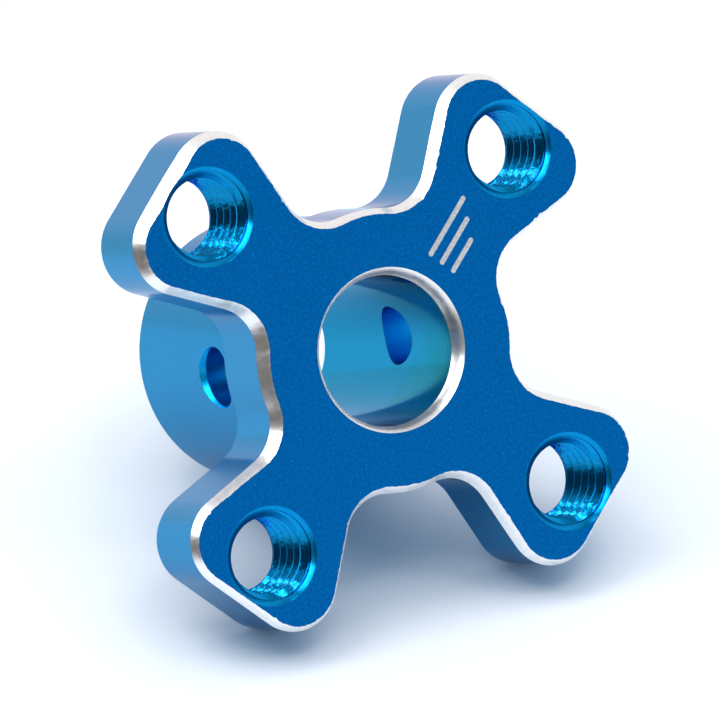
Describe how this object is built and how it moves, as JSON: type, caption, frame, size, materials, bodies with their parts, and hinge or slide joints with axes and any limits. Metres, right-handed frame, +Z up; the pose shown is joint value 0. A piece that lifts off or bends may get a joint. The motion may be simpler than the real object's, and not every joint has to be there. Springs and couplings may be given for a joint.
{
  "type": "four-arm flanged shaft hub",
  "caption": "One-piece anodised aluminium shaft hub: an X-shaped plate with tapped, countersunk arms in front of a round boss that has a through bore and a plain cross-pin hole.",
  "frame": {"origin": "on the bore's axis, in the plane of the plate's rear face, where the boss starts", "axes": "+Y along the bore's axis, from the plate's front face towards the end of the boss; +X along the cross-pin hole's axis; +Z up; the arms point along the diagonals of the XZ plane"},
  "size_m": [0.0166, 0.01, 0.0166],
  "materials": {
    "blue_anodised_aluminium": "satin blue anodised",
    "bare_aluminium": "bare machined chamfers, cut after anodising"
  },
  "bodies": {
    "root": {"four_arm_hub": "blue_anodised_aluminium"}
  },
  "joints": []
}
